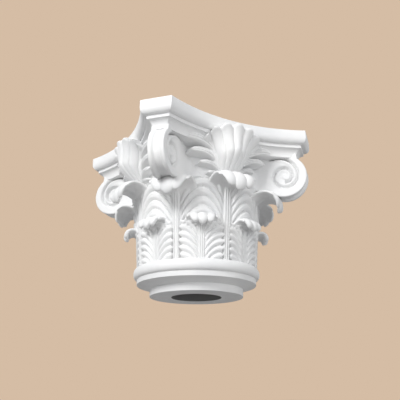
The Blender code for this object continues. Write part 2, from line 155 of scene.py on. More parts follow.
# Overturned tips of the leaves
TIP_ROWS = 34
TIP_COLUMNS = 57
TIP_LOBES_A_SIDE = 1.75
TIP_LOBE_POWER = 0.7
TIP_LOBE_LENGTH = 0.006
TIP_LOBE_RELIEF = 0.0024
TIP_LOBE_START = 0.15
TIP_LOBE_FULL = 0.7
TIP_FRONT_RELIEF = 0.0010
TIP_RIB_RELIEF = 0.0012
TIP_RIB_HALF_WIDTH = 0.0045
TIP_SIDE_TRIM = 0.28
TIP_SIDE_THINNING = 0.35
TIP_END_ROUND = 0.20
TIP_SIDE_ROUND = 0.12
TIP_ROUND_LEAST = 0.02

# Corner volutes
VOLUTE_EYE_REACH = 0.159
VOLUTE_EYE_HEIGHT = 0.1945
VOLUTE_RADIUS = 0.0368
VOLUTE_NECK_REACH = 0.179
VOLUTE_HALF_WIDTH = 0.0155
VOLUTE_TAPER_DEG = 4.0
SCROLL_START_DEG = 38.0
SCROLL_SWEEP_DEG = 160.0
STEM_LOW_HEIGHT = 0.176
STEM_SPREAD = 0.0175
STEM_SPREAD_LENGTH = 0.025
STRAP_RIM = 0.0065
STRAP_DEPTH = 0.0045
SCROLL_CORE_RADIUS = 0.0325
GROOVE_WIDTH = 0.0020
GROOVE_DEPTH = 0.0070
GROOVE_OUTER_RADIUS = 0.0250
GROOVE_PITCH = 0.0100
GROOVE_LEAD_IN = 0.0145
GROOVE_START_DEG = -45.0
GROOVE_END_DEG = 610.0
GROOVE_LEAD_END_DEG = 80.0
GROOVE_LEAD_GAIN = 0.8
GROOVE_FADE_IN_DEG = 15.0
GROOVE_FADE_OUT_DEG = 30.0
SCROLL_DISH = 0.0042
SCROLL_DISH_MARGIN = 0.004
SCROLL_BAND_CROWN = 0.0012
SCROLL_CORE_SHARE = 0.93
SCROLL_EDGE_WIDTH = 0.0012
SCROLL_EDGE_DROP = 0.0007
STRAP_BLUR_OUT = 0.0012
STRAP_BLUR_IN = 0.0022
STRAP_RIM_CROWN = 0.0006
STRAP_RIM_CROWN_WIDTH = 0.0025
EYE_RADIUS = 0.0062
EYE_RISE = 0.0016
EYE_FLAT_SHARE = 0.4
NECK_OVERLAP = 0.002
SCROLL_OUTLINE_POINTS = 60
VOLUTE_SEGMENTS = 224
SCROLL_CORE_ROWS = 30
SCROLL_RIM_ROWS = 9
STRAP_ROWS = 23

# Face shells
SHELL_BASE_HEIGHT = 0.173
SHELL_TOP_HEIGHT = 0.257
SHELL_SIDE_HEIGHT = 0.225
SHELL_BASE_HALF_WIDTH = 0.012
SHELL_WIDENING = 0.034
SHELL_FLARE = 0.011
SHELL_FLARE_POWER = 6
SHELL_BASE_REACH = 0.112
SHELL_SWELL = 0.033
SHELL_FRONT_FLARE = 0.008
SHELL_SIDE_REACH = 0.104
SHELL_SIDE_FLARE = 0.028
SHELL_BELLY_SHARE = 0.5
SHELL_BACK = 0.088
SHELL_RIBS = 7
SHELL_RIB_POWER = 0.6
SHELL_RIB_RELIEF = 0.0044
SHELL_RIB_LEVEL = 0.45
SHELL_RIB_BASE_SHARE = 0.25
SHELL_SCALLOP = 0.075
SHELL_SCALLOP_SHARE = 0.6
SHELL_RIM_START = 0.92
SHELL_RIM_DROP = 0.010
SHELL_RIM_POWER = 2.5
SHELL_ROWS = 48
SHELL_COLUMNS = 169

# Sprays between shell and volute: root, bend and tip of the lowest and of the highest leaflet,
# each as distance from the face's middle, depth and height
SPRAY_LEAFLETS = 4
SPRAY_SPACING_POWER = 1.15
SPRAY_LOW = ((0.012, 0.108, 0.174), (0.026, 0.116, 0.184), (0.036, 0.106, 0.181))
SPRAY_HIGH = ((0.016, 0.112, 0.204), (0.048, 0.134, 0.2375), (0.089, 0.116, 0.2295))
SPRAY_LOW_HALF_WIDTH = 0.0034
SPRAY_HIGH_HALF_WIDTH = 0.0078
SPRAY_ROOT_SHARE = 0.45
SPRAY_WIDENING_SHARE = 0.75
SPRAY_END_POWER = 4
SPRAY_END_LEAST = 0.003
SPRAY_RELIEF = 0.0045
SPRAY_ROLL_POWER = 0.45
SPRAY_FLUTE_DEPTH = 0.0024
SPRAY_FLUTES_A_SIDE = 1.5
SPRAY_FLUTE_POWER = 0.8
SPRAY_FLUTE_END = 0.96
SPRAY_BACK = 0.088
SPRAY_BACK_LEAD = 0.011
SPRAY_ROWS = 24
SPRAY_COLUMNS = 19

# Photograph's camera, as fitted to the moulding's outline
CAMERA_AZIMUTH_DEG = -26.947
CAMERA_DISTANCE = 0.8645
CAMERA_HEIGHT = -0.1311
CAMERA_PITCH_DEG = 19.380
CAMERA_YAW_DEG = -0.376
CAMERA_ROLL_DEG = 0.143
CAMERA_LENS = 46.334
CAMERA_SENSOR = 36.0

# Coating, and the painted shade on the wall of the bore
COAT_DARK = (0.80, 0.805, 0.81, 1.0)
COAT_LIGHT = (0.88, 0.88, 0.875, 1.0)
COAT_DARK_FROM = 0.30
COAT_LIGHT_FROM = 0.70
COAT_SPECULAR = 0.35
COAT_SMOOTHEST = 0.50
COAT_ROUGHEST = 0.66
MOTTLE_SCALE = 18.0
MOTTLE_DETAIL = 4.0
GRAIN_SCALE = 1100.0
GRAIN_DETAIL = 2.0
GRAIN_STRENGTH = 0.12
GRAIN_HEIGHT = 0.0002
SWELL_SCALE = 120.0
SWELL_DETAIL = 2.0
SWELL_STRENGTH = 0.25
SWELL_HEIGHT = 0.0004
# Dark colour painted on the bore's wall as the shade inside the recess, not a colour of the wall itself
BORE_PAINTED_SHADE_COLOUR = (0.20, 0.20, 0.195, 1.0)

# Stage
BACKDROP_COLOUR = (0.665, 0.508, 0.376, 1.0)
BACKDROP_RADIUS = 4.5
FLOOR_COLOUR = (0.36, 0.355, 0.35, 1.0)
FLOOR_ROUGHNESS = 0.9
FLOOR_HEIGHT = -0.30
FLOOR_SIZE = 7.0
SKY_COLOUR = (0.97, 0.98, 1.0, 1.0)
SKY_STRENGTH = 0.52


class SoftLight(NamedTuple):
    """A square light: where it stands as seen from the capital, its side and its power in watts."""

    azimuth_deg: float
    elevation_deg: float
    distance: float
    side: float
    power: float


KEY_LIGHT = SoftLight(azimuth_deg=-62.0, elevation_deg=24.0, distance=1.9, side=0.6, power=24.5)
FILL_LIGHT = SoftLight(azimuth_deg=8.0, elevation_deg=7.0, distance=2.0, side=1.0, power=10.0)


class Leaf(NamedTuple):
    """The named sizes of one kind of leaf."""

    top: float
    rise_radius: float
    droop_radius: float
    droop_deg: float
    hang: float
    half_width: float
    tip_half_width: float


SHORT_LEAF = Leaf(
    top=0.1125, rise_radius=0.010, droop_radius=0.012, droop_deg=100.0, hang=0.006,
    half_width=0.027, tip_half_width=0.023,
)
CORNER_LEAF = Leaf(
    top=0.168, rise_radius=0.026, droop_radius=0.021, droop_deg=110.0, hang=0.007,
    half_width=0.036, tip_half_width=0.033,
)
FACE_LEAF = CORNER_LEAF._replace(top=0.177)


def smooth_step(value, start, end):
    """0 before start, 1 after end, and a smooth rise between."""
    share = np.clip((value - start) / (end - start), 0.0, 1.0)
    return share * share * (3.0 - 2.0 * share)


def ridge(phase, power):
    """Rounded rolls, one for each whole step of phase, with sharp grooves between them."""
    return np.abs(np.sin(pi * phase)) ** power


def mesh_grid(rows, columns):
    """Two arrays that run over the rows and over the columns of one grid."""
    return np.meshgrid(rows, columns, indexing="ij")


def polar(radius, azimuth, height):
    """Points by azimuth in radians, measured from the front towards +X."""
    radius, azimuth, height = np.broadcast_arrays(radius, azimuth, height)
    return np.stack((radius * np.sin(azimuth), -radius * np.cos(azimuth), height), axis=-1)


def turned(points, azimuth):
    """Points turned about the axis by azimuth in radians."""
    spin = np.array(Matrix.Rotation(azimuth, 3, "Z"))
    return points @ spin.T


def bell_radius(height):
    """Radius of the bell's wall, which stands upright and then flares to its lip."""
    rise = (height - BELL_FLARE_START) / (ABACUS_BOTTOM - BELL_FLARE_START)
    return BELL_RADIUS + (BELL_LIP_RADIUS - BELL_RADIUS) * np.clip(rise, 0.0, 1.0) ** 2


def quads(index, wrap_rows=False, wrap_columns=False):
    """The faces of a grid of point numbers, closed on itself in the directions that wrap."""
    if wrap_rows:
        index = np.vstack((index, index[:1]))
    if wrap_columns:
        index = np.hstack((index, index[:, :1]))
    corners = (index[:-1, :-1], index[:-1, 1:], index[1:, 1:], index[1:, :-1])
    return np.stack(corners, axis=-1).reshape(-1, 4)


def ring_solid(rows):
    """A closed ring: a grid that wraps both ways."""
    index = np.arange(rows.shape[0] * rows.shape[1]).reshape(rows.shape[:2])
    return rows.reshape(-1, 3), quads(index, True, True)


def plate_solid(front, back):
    """A closed plate between two grids of the same size."""
    count = front.shape[0] * front.shape[1]
    index = np.arange(count).reshape(front.shape[:2])
    behind = index + count
    rims = [
        quads(np.stack((index[side], behind[side])))
        for side in (np.s_[0], np.s_[-1], np.s_[:, 0], np.s_[:, -1])
    ]
    points = np.concatenate((front.reshape(-1, 3), back.reshape(-1, 3)))
    return points, np.concatenate([quads(index), quads(behind)] + rims)


def piece(name, solids, sharp_deg):
    """One object from several closed solids, smooth except at edges sharper than sharp_deg."""
    points = []
    faces = []
    start = 0
    for solid_points, solid_faces in solids:
        points.append(solid_points)
        faces.append(solid_faces + start)
        start += len(solid_points)
    mesh = bpy.data.meshes.new(name)
    mesh.from_pydata(np.concatenate(points).tolist(), [], np.concatenate(faces).tolist())
    work = bmesh.new()
    work.from_mesh(mesh)
    bmesh.ops.remove_doubles(work, verts=work.verts, dist=1e-6)
    bmesh.ops.dissolve_degenerate(work, dist=1e-6, edges=work.edges)
    bmesh.ops.recalc_face_normals(work, faces=work.faces)
    work.to_mesh(mesh)
    work.free()
    mesh.shade_smooth()
    mesh.set_sharp_from_angle(angle=radians(sharp_deg))
    item = bpy.data.objects.new(name, mesh)
    bpy.context.scene.collection.objects.link(item)
    return item


def eased_corners(profile, size):
    """The profile with each sharp corner drawn in by a small round."""
    points = [Vector(point) for point in profile]
    eased = []
    for i, point in enumerate(points):
        before = points[i - 1] - point
        after = points[(i + 1) % len(points)] - point
        if before.angle(-after) < radians(EASED_FROM_DEG):
            eased.append(point)
            continue
        near = point + before.normalized() * min(size, before.length * EASED_SHARE)
        far = point + after.normalized() * min(size, after.length * EASED_SHARE)
        eased += [near, point / 2 + (near + far) / 4, far]
    return np.array(eased)


def turned_core():
    """Spigot, seat, fillet, astragal and bell around the bore."""
    profile = [(BORE_RADIUS, 0.0), (SPIGOT_RADIUS, 0.0), (SPIGOT_RADIUS, SPIGOT_HEIGHT)]
    profile.append((SEAT_RADIUS, SEAT_TOP))
    half = ASTRAGAL_THICKNESS / 2
    for i in range(ASTRAGAL_STEPS + 1):
        turn = pi * i / ASTRAGAL_STEPS
        radius = SEAT_RADIUS + ASTRAGAL_PROJECTION * sin(turn)
        profile.append((radius, ASTRAGAL_BOTTOM + half * (1 - cos(turn))))
    for i in range(BELL_STEPS + 1):
        height = BELL_BOTTOM + (ABACUS_BOTTOM - BELL_BOTTOM) * i / BELL_STEPS
        profile.append((float(bell_radius(height)), height))
    profile += [(BELL_LIP_RADIUS, COVE_TOP), (BORE_RADIUS, COVE_TOP)]
    profile = eased_corners(profile, EDGE_ROUND)
    azimuth = np.linspace(0, 2 * pi, CORE_SEGMENTS, endpoint=False)
    return ring_solid(polar(profile[:, :1], azimuth[None, :], profile[:, 1:]))


def abacus_level(inset, height):
    """One level of the abacus, drawn in from the top outline by inset."""
    centre = ABACUS_MID_SIDE + ABACUS_SIDE_RADIUS
    radius = ABACUS_SIDE_RADIUS + inset
    reach = sqrt(2) * (ABACUS_CORNER - inset) - centre
    half_turn = pi / 4 + asin(reach / (sqrt(2) * radius))
    turn = half_turn * np.linspace(-1, 1, ABACUS_SIDE_POINTS)
    level = np.full_like(turn, height)
    side = np.stack((radius * np.sin(turn), radius * np.cos(turn) - centre, level), axis=-1)
    return np.concatenate([turned(side, pi / 2 * face) for face in range(4)])


def abacus():
    """Straight edge, ovolo, fillet and cove, stacked from the top down around the bore."""
    fillet_inset = OVOLO_PROJECTION + ABACUS_STEP
    fillet_top = HEIGHT - ABACUS_EDGE - OVOLO_HEIGHT
    chamfer = ABACUS_TOP_ROUND * ABACUS_TOP_CHAMFER_SHARE
    levels = [(ABACUS_TOP_ROUND, HEIGHT), (chamfer, HEIGHT - chamfer), (0.0, HEIGHT - ABACUS_TOP_ROUND)]
    quarter = np.linspace(0, pi / 2, ABACUS_MOULDING_POINTS)
    for turn in quarter:
        inset = OVOLO_PROJECTION * (1 - cos(turn))
        levels.append((inset, HEIGHT - ABACUS_EDGE - OVOLO_HEIGHT * sin(turn)))
    levels.append((fillet_inset, fillet_top))
    for turn in quarter:
        inset = fillet_inset + COVE_PROJECTION * sin(turn)
        levels.append((inset, COVE_TOP - COVE_HEIGHT * (1 - cos(turn))))
    rows = [abacus_level(inset, height) for inset, height in levels]
    for outline, height in ((rows[-1], ABACUS_BOTTOM), (rows[0], HEIGHT)):
        azimuth = np.arctan2(outline[:, 0], -outline[:, 1])
        rows.append(polar(BORE_RADIUS, azimuth, height))
    return ring_solid(np.stack(rows))


def vein(height, side, sweep, pitch):
    """A count that rises by one from leaflet to leaflet.

    A leaflet starts upright at the midrib and leans out at the leaf's edge.
    """
    return (height + sweep * (1 - np.clip(side, 0.0, 1.0)) ** VEIN_BEND) / pitch


def midrib(distance, half_width):
    """A raised rib with two fine lines along it, from 0 to 1 high."""
    share = distance / half_width
    body = 1 - smooth_step(share, MIDRIB_FLAT_SHARE, MIDRIB_FOOT_SHARE)
    line = np.exp(-(((share - MIDRIB_LINE_PLACE) / MIDRIB_LINE_WIDTH) ** 2))
    return body * (1 - MIDRIB_LINE_DEPTH * line)


def lower_relief(height, side_arc, rib_arc):
    """Relief of the short leaves and of the tall leaves' ribs between them, above the bell."""
    above = height - BELL_BOTTOM
    run = np.clip(above / (SHORT_LEAF.top - BELL_BOTTOM), 0, 1)
    width = SHORT_HALF_WIDTH + SHORT_BELLY * np.sin(pi * run)
    width -= SHORT_NARROWING * run ** SHORT_NARROWING_POWER
    roll = ridge(vein(above, side_arc / width, SHORT_SWEEP, SHORT_PITCH), LEAFLET_POWER)
    edge = width * (SHORT_EDGE_SHARE + SHORT_EDGE_WAVE * ridge(above / SHORT_PITCH, LEAFLET_POWER))
    side = np.clip(side_arc / width, 0, 1)
    inside = 1 - smooth_step(side_arc, edge - SHORT_EDGE_BLUR, edge + SHORT_EDGE_BLUR)
    leaflets = SHORT_LEAFLET_RELIEF * roll * smooth_step(side, LEAFLET_START, LEAFLET_FULL)
    carved = SHORT_WEB + SHORT_SIDE_RISE * side ** SIDE_RISE_POWER + leaflets
    stem = midrib(side_arc, SHORT_MIDRIB_HALF_WIDTH)
    leaf = inside * np.maximum(carved, SHORT_MIDRIB_RELIEF * stem)
    rib = RIB_RELIEF * midrib(rib_arc, RIB_HALF_WIDTH)
    return np.maximum(leaf, rib) + LEAF_GROUND


def upper_relief(height, rib_arc):
    """Relief of the tall leaves, which open out above the short ones until they meet."""
    above = height - TALL_COUNT_START
    open_out = smooth_step(height, TALL_OPEN_START, TALL_OPEN_END)
    width = TALL_FOOT_HALF_WIDTH + TALL_WIDENING * open_out
    phase = vein(above, rib_arc / width, TALL_SWEEP, TALL_PITCH)
    rolls = TALL_LEAFLET_RELIEF * ridge(phase, LEAFLET_POWER)
    rolls += TALL_FINE_RELIEF * ridge(phase * 2, TALL_FINE_POWER)
    edge = width * (TALL_EDGE_SHARE + TALL_EDGE_WAVE * ridge(above / TALL_PITCH, LEAFLET_POWER))
    side = np.clip(rib_arc / width, 0, 1)
    inside = 1 - smooth_step(rib_arc, edge - TALL_EDGE_BLUR, edge + TALL_EDGE_BLUR)
    leaflets = rolls * smooth_step(side, LEAFLET_START, LEAFLET_FULL)
    carved = TALL_WEB + TALL_SIDE_RISE * side ** SIDE_RISE_POWER + leaflets
    leaf = inside * carved * open_out
    rib = RIB_RELIEF * midrib(rib_arc, RIB_HALF_WIDTH)
    return np.maximum(leaf, rib) + LEAF_GROUND


def leaf_sleeve(low, high, sunk_row):
    """The leaves where they lie on the bell, as one carved ring with its inner wall inside the bell.

    The sunk row, first or last, ends below the bell's face.
    """
    around = np.linspace(0, 2 * pi, SLEEVE_COLUMNS, endpoint=False)
    height, azimuth = mesh_grid(np.linspace(low, high, SLEEVE_ROWS), around)
    spacing = 2 * pi / LEAF_COUNT
    from_rib = np.abs((azimuth / spacing + 0.5) % 1.0 - 0.5) * spacing
    from_short = spacing / 2 - from_rib
    radius = bell_radius(height)
    arc = radius + LEAF_RELIEF
    share = np.clip((height - BELL_BOTTOM) / (SHORT_LEAF.top - BELL_BOTTOM), 0, 1)
    lower = lower_relief(height, from_short * arc, from_rib * arc)
    fade_from = SHORT_LEAF.top - SHORT_FADE_START
    lower *= 1 - smooth_step(height, fade_from, SHORT_LEAF.top - SHORT_FADE_END)
    upper = upper_relief(height, from_rib * arc)
    relief = np.maximum(lower, upper) + LEAF_SWELL * np.minimum(2 * share - 1, 1.0)
    relief[sunk_row] = -SLEEVE_SUNK
    outer = polar(radius + relief, azimuth, height)
    inner = polar(radius - 2 * SLEEVE_SUNK, azimuth, height)[[-1, 0]]
    return ring_solid(np.concatenate((outer, inner)))


def leaf_spine(leaf, run):
    """Radius, height and turn of the leaf's outer face, at a length from where it leaves the bell.

    The turn is 0 where the leaf stands upright, 90 degrees where it points out and 180 where it hangs.
    """
    wall_top = leaf.top - LEAF_SHEET - leaf.rise_radius
    rise = leaf.rise_radius * pi / 2
    inner = leaf.droop_radius - LEAF_SHEET
    start = bell_radius(wall_top) + LEAF_RELIEF
    droop = radians(leaf.droop_deg)
    rising = run <= rise
    turn = np.where(rising, run / leaf.rise_radius, pi / 2 + np.clip((run - rise) / inner, 0.0, droop))
    hang = np.maximum(run - rise - inner * droop, 0.0)
    rise_out = start + leaf.rise_radius * (1 - np.cos(turn))
    rise_up = wall_top + leaf.rise_radius * np.sin(turn)
    fall_out = start + leaf.rise_radius - inner * np.cos(turn) + hang * np.sin(turn)
    fall_up = wall_top + leaf.rise_radius - inner + inner * np.sin(turn) + hang * np.cos(turn)
    return np.where(rising, rise_out, fall_out), np.where(rising, rise_up, fall_up), turn


def leaf_tip(leaf, azimuth):
    """The closed, lobed end of a leaf, bent out and down from the sleeve."""
    share, across = mesh_grid(np.linspace(0.0, 1.0, TIP_ROWS), np.linspace(-1.0, 1.0, TIP_COLUMNS))
    length = leaf.rise_radius * pi / 2 + leaf.hang
    length += (leaf.droop_radius - LEAF_SHEET) * radians(leaf.droop_deg)
    lobe = ridge(TIP_LOBES_A_SIDE * across + 0.5, TIP_LOBE_POWER)
    trim = (TIP_LOBE_LENGTH * (1 - lobe) + TIP_SIDE_TRIM * length * across ** 2) * share ** 2
    radius, height, turn = leaf_spine(leaf, share * length - trim)
    half_width = leaf.half_width + (leaf.tip_half_width - leaf.half_width) * share
    thin = LEAF_SHEET * (1 - TIP_SIDE_THINNING * share * across ** 2)
    ending = np.clip((share - 1) / TIP_END_ROUND + 1, 0, 1)
    siding = np.clip((np.abs(across) - 1) / TIP_SIDE_ROUND + 1, 0, 1)
    body = np.sqrt(np.clip(1 - ending ** 2, TIP_ROUND_LEAST, 1))
    body = body * np.sqrt(np.clip(1 - siding ** 2, TIP_ROUND_LEAST, 1))
    rib_line = midrib(np.abs(across) * half_width, TIP_RIB_HALF_WIDTH)
    front_relief = TIP_RIB_RELIEF * rib_line + TIP_FRONT_RELIEF * (lobe - 0.5) * share
    back_relief = TIP_LOBE_RELIEF * (lobe - 0.5) * smooth_step(share, TIP_LOBE_START, TIP_LOBE_FULL)
    sides = []
    for depth in (thin * (1 - body) / 2 - front_relief, thin * (1 + body) / 2 + back_relief * body):
        r = radius - depth * np.cos(turn)
        z = height + depth * np.sin(turn)
        sides.append(polar(r, azimuth + across * half_width / radius, z))
    return plate_solid(*sides)


def volute_half_width(reach):
    """Half the volute's width at a distance from the axis along the diagonal."""
    end = VOLUTE_EYE_REACH - VOLUTE_RADIUS
    width = VOLUTE_HALF_WIDTH - (reach - VOLUTE_EYE_REACH) * sin(radians(VOLUTE_TAPER_DEG))
    return width + STEM_SPREAD * (np.clip(end - reach, 0, None) / STEM_SPREAD_LENGTH) ** 3


def volute_outline():
    """Reach and height of the corners around one volute, from its neck round the scroll and back."""
    top = COVE_TOP - NECK_OVERLAP
    turn = np.radians(SCROLL_START_DEG + SCROLL_SWEEP_DEG * np.linspace(0, 1, SCROLL_OUTLINE_POINTS))
    scroll = np.stack((
        VOLUTE_EYE_REACH + VOLUTE_RADIUS * np.sin(turn),
        VOLUTE_EYE_HEIGHT + VOLUTE_RADIUS * np.cos(turn),
    ), axis=-1)
    stem = [(BELL_RADIUS, STEM_LOW_HEIGHT), (BELL_RADIUS, top), (VOLUTE_NECK_REACH, top)]
    return np.concatenate((scroll, stem, scroll[:1]))


def outline_radius(turn):
    """How far the volute reaches from its eye in each direction, by casting rays at its outline."""
    corners = volute_outline() - (VOLUTE_EYE_REACH, VOLUTE_EYE_HEIGHT)
    start = corners[:-1]
    along = corners[1:] - start
    ray = np.stack((np.sin(turn), np.cos(turn)), axis=-1)[:, None, :]
    cross = ray[..., 0] * along[:, 1] - ray[..., 1] * along[:, 0]
    cross = np.where(np.abs(cross) < 1e-12, 1e-12, cross)
    reach = (start[:, 0] * along[:, 1] - start[:, 1] * along[:, 0]) / cross
    share = (start[:, 0] * ray[..., 1] - start[:, 1] * ray[..., 0]) / cross
    hit = (reach > 0) & (share >= -1e-6) & (share <= 1 + 1e-6)
    return np.where(hit, reach, np.inf).min(axis=1)


def scroll_relief(turn, radius):
    """Height of the scroll's face above its plane: a dished spiral band round a raised eye."""
    rim = GROOVE_OUTER_RADIUS + SCROLL_DISH_MARGIN
    relief = -SCROLL_DISH * (1 - smooth_step(radius, EYE_RADIUS, rim))
    for lap in (-1, 0, 1):
        angle = turn + 2 * pi * lap
        lead = np.clip(radians(GROOVE_LEAD_END_DEG) - angle, 0, None)
        lead = lead / radians(GROOVE_LEAD_END_DEG - GROOVE_START_DEG)
        spiral = GROOVE_OUTER_RADIUS - GROOVE_PITCH * angle / (2 * pi) + GROOVE_LEAD_IN * lead ** 2
        full_from = radians(GROOVE_START_DEG + GROOVE_FADE_IN_DEG)
        full_to = radians(GROOVE_END_DEG - GROOVE_FADE_OUT_DEG)
        ends = smooth_step(angle, radians(GROOVE_START_DEG), full_from)
        ends = ends * (1 - smooth_step(angle, full_to, radians(GROOVE_END_DEG)))
        away = radius - spiral
        groove = np.exp(-((away / GROOVE_WIDTH) ** 2)) * (1 + GROOVE_LEAD_GAIN * lead)
        crown = np.exp(-(((away + GROOVE_PITCH / 2) / (GROOVE_PITCH / 4)) ** 2))
        relief = relief + ends * (SCROLL_BAND_CROWN * crown - GROOVE_DEPTH * groove)
    return relief + EYE_RISE * (1 - smooth_step(radius, EYE_RADIUS * EYE_FLAT_SHARE, EYE_RADIUS))


def scroll_face(turn, edge):
    """One face of a volute, from the row around its eye to the row along its edge."""
    core = np.minimum(edge * SCROLL_CORE_SHARE, SCROLL_CORE_RADIUS)
    inner = core * np.linspace(0.0, 1.0, SCROLL_CORE_ROWS)[1:, None]
    outer = core + (edge - core) * np.linspace(0.0, 1.0, SCROLL_RIM_ROWS)[1:, None]
    radius = np.concatenate((inner, outer))
    reach = VOLUTE_EYE_REACH + radius * np.sin(turn)
    height = VOLUTE_EYE_HEIGHT + radius * np.cos(turn)
    lap = (np.broadcast_to(turn, radius.shape) + pi) % (2 * pi) - pi
    face = volute_half_width(reach) + scroll_relief(lap, radius)
    rounding = np.clip((radius - (edge - SCROLL_EDGE_WIDTH)) / SCROLL_EDGE_WIDTH, 0, 1)
    face -= SCROLL_EDGE_DROP * rounding ** 2
    return np.stack((reach, face, height), axis=-1)


def scroll_strap(turn, edge):
    """The band between a volute's two faces, sunk between its rims."""
    reach = VOLUTE_EYE_REACH + edge * np.sin(turn)
    across = np.linspace(1.0, -1.0, STRAP_ROWS)[1:-1, None]
    half = volute_half_width(reach)
    from_rim = half * (1 - np.abs(across))
    sunk = STRAP_DEPTH * smooth_step(from_rim, STRAP_RIM - STRAP_BLUR_OUT, STRAP_RIM + STRAP_BLUR_IN)
    crown = np.exp(-((from_rim - STRAP_RIM / 2) / STRAP_RIM_CROWN_WIDTH) ** 2)
    sunk = sunk - STRAP_RIM_CROWN * crown
    sunk = sunk * smooth_step(reach, VOLUTE_EYE_REACH - VOLUTE_RADIUS, VOLUTE_EYE_REACH)
    return np.stack((
        VOLUTE_EYE_REACH + (edge - sunk) * np.sin(turn),
        across * half,
        VOLUTE_EYE_HEIGHT + (edge - sunk) * np.cos(turn),
    ), axis=-1)


def volute(azimuth):
    """Two scroll faces with a sunk strap between their rims, turned to one corner."""
    turn = np.linspace(-pi, pi, VOLUTE_SEGMENTS, endpoint=False) + 0.75 * pi
    edge = outline_radius(turn)
    near = scroll_face(turn, edge)
    far = near * (1, -1, 1)
    eye = np.broadcast_to((VOLUTE_EYE_REACH, near[0, :, 1].mean(), VOLUTE_EYE_HEIGHT), near[:1].shape)
    rows = np.concatenate((eye, near, scroll_strap(turn, edge), far[::-1], eye * (1, -1, 1)))
    index = np.arange(rows.shape[0] * rows.shape[1]).reshape(rows.shape[:2])
    return turned(rows.reshape(-1, 3), azimuth - pi / 2), quads(index, False, True)


def shell(azimuth):
    """A scallop of rounded ribs that rise close together from the base and flare to a lobed rim."""
    outward, across = mesh_grid(np.linspace(0.0, 1.0, SHELL_ROWS), np.linspace(-1.0, 1.0, SHELL_COLUMNS))
    turn = pi / 2 * across
    roll = ridge((across + 1) / 2 * SHELL_RIBS, SHELL_RIB_POWER)
    end = outward - SHELL_SCALLOP * (1 - roll) * smooth_step(outward, SHELL_SCALLOP_SHARE, 1.0)
    top = SHELL_SIDE_HEIGHT + (SHELL_TOP_HEIGHT - SHELL_SIDE_HEIGHT) * np.cos(turn)
    height = SHELL_BASE_HEIGHT + (top - SHELL_BASE_HEIGHT) * end
    flare = end ** SHELL_FLARE_POWER
    half_width = SHELL_BASE_HALF_WIDTH + SHELL_WIDENING * end + SHELL_FLARE * flare
    side = SHELL_SIDE_REACH + SHELL_SIDE_FLARE * flare
    belly = SHELL_SWELL * smooth_step(end, 0.0, SHELL_BELLY_SHARE)
    front = SHELL_BASE_REACH + belly + SHELL_FRONT_FLARE * flare
    depth_share = SHELL_RIB_BASE_SHARE + (1 - SHELL_RIB_BASE_SHARE) * outward
    past_rim = np.clip((outward - SHELL_RIM_START) / (1 - SHELL_RIM_START), 0, 1)
    relief = SHELL_RIB_RELIEF * (roll - SHELL_RIB_LEVEL) * depth_share
    relief -= SHELL_RIM_DROP * past_rim ** SHELL_RIM_POWER
    width = (half_width + relief) * np.sin(turn)
    depth = side + (front - side + relief) * np.cos(turn)
    face = np.stack((width, -depth, height), axis=-1)
    behind = face * (1, 0, 1) - (0, SHELL_BACK, 0)
    points, faces = plate_solid(face, behind)
    return turned(points, azimuth), faces


def spray_leaflet(azimuth, side, rise):
    """A bent, fluted leaflet beside a shell; rise is 0 for the lowest and 1 for the highest."""
    along, across = mesh_grid(np.linspace(0, 1, SPRAY_ROWS), np.linspace(-1, 1, SPRAY_COLUMNS))
    share = along[..., None]
    low = np.array(SPRAY_LOW)
    root, bend, tip = low + rise * (np.array(SPRAY_HIGH) - low)
    half_width = SPRAY_LOW_HALF_WIDTH + rise * (SPRAY_HIGH_HALF_WIDTH - SPRAY_LOW_HALF_WIDTH)
    line = root * (1 - share) ** 2 + bend * 2 * share * (1 - share) + tip * share ** 2
    heading = (bend - root) * (1 - share) + (tip - bend) * share
    heading = heading / np.hypot(heading[..., :1], heading[..., 2:])
    end = np.sqrt(np.clip(1 - along ** SPRAY_END_POWER, SPRAY_END_LEAST, 1))
    step = across * half_width * (SPRAY_ROOT_SHARE + SPRAY_WIDENING_SHARE * along) * end
    place = line[..., 0] - step * heading[..., 2]
    height = line[..., 2] + step * heading[..., 0]
    roll = np.clip(1 - across ** 2, 0, 1) ** SPRAY_ROLL_POWER
    flutes = 1 - ridge(SPRAY_FLUTES_A_SIDE * across + 0.5, SPRAY_FLUTE_POWER)
    flutes = flutes * np.sin(pi * np.clip(along / SPRAY_FLUTE_END, 0, 1))
    depth = line[..., 1] + SPRAY_RELIEF * (roll - 0.5) - SPRAY_FLUTE_DEPTH * flutes
    behind = np.maximum(SPRAY_BACK, place + SPRAY_BACK_LEAD)
    front = np.stack((side * place, -depth, height), axis=-1)
    back = np.stack((side * place, -behind, height), axis=-1)
    points, faces = plate_solid(front, back)
    return turned(points, azimuth), faces


def spray(azimuth, side):
    """The leaflets between a shell and a scroll, one above another."""
    rises = np.linspace(0, 1, SPRAY_LEAFLETS) ** SPRAY_SPACING_POWER
    return [spray_leaflet(azimuth, side, rise) for rise in rises]


def noise_texture(nodes, scale, detail):
    """A cloudy pattern that stays with the surface."""
    noise = nodes.new("ShaderNodeTexNoise")
    noise.inputs["Scale"].default_value = scale
    noise.inputs["Detail"].default_value = detail
    return noise


def bump(nodes, strength, height):
    """A roughening of the surface, with its height in metres."""
    node = nodes.new("ShaderNodeBump")
    node.inputs["Strength"].default_value = strength
    node.inputs["Distance"].default_value = height
    return node


def outside_painted_bore_shade(nodes, link, place):
    """A value that is 0 on the wall of the bore, where the shade is painted, and 1 everywhere else."""
    level = nodes.new("ShaderNodeVectorMath")
    level.operation = "MULTIPLY"
    level.inputs[1].default_value = (1.0, 1.0, 0.0)
    reach = nodes.new("ShaderNodeVectorMath")
    reach.operation = "LENGTH"
    outside = nodes.new("ShaderNodeMapRange")
    outside.inputs["From Min"].default_value = BORE_RADIUS + EDGE_ROUND * 0.5
    outside.inputs["From Max"].default_value = BORE_RADIUS + EDGE_ROUND * 1.5
    link(place.outputs["Object"], level.inputs[0])
    link(level.outputs["Vector"], reach.inputs[0])
    link(reach.outputs["Value"], outside.inputs["Value"])
    return outside.outputs["Result"]


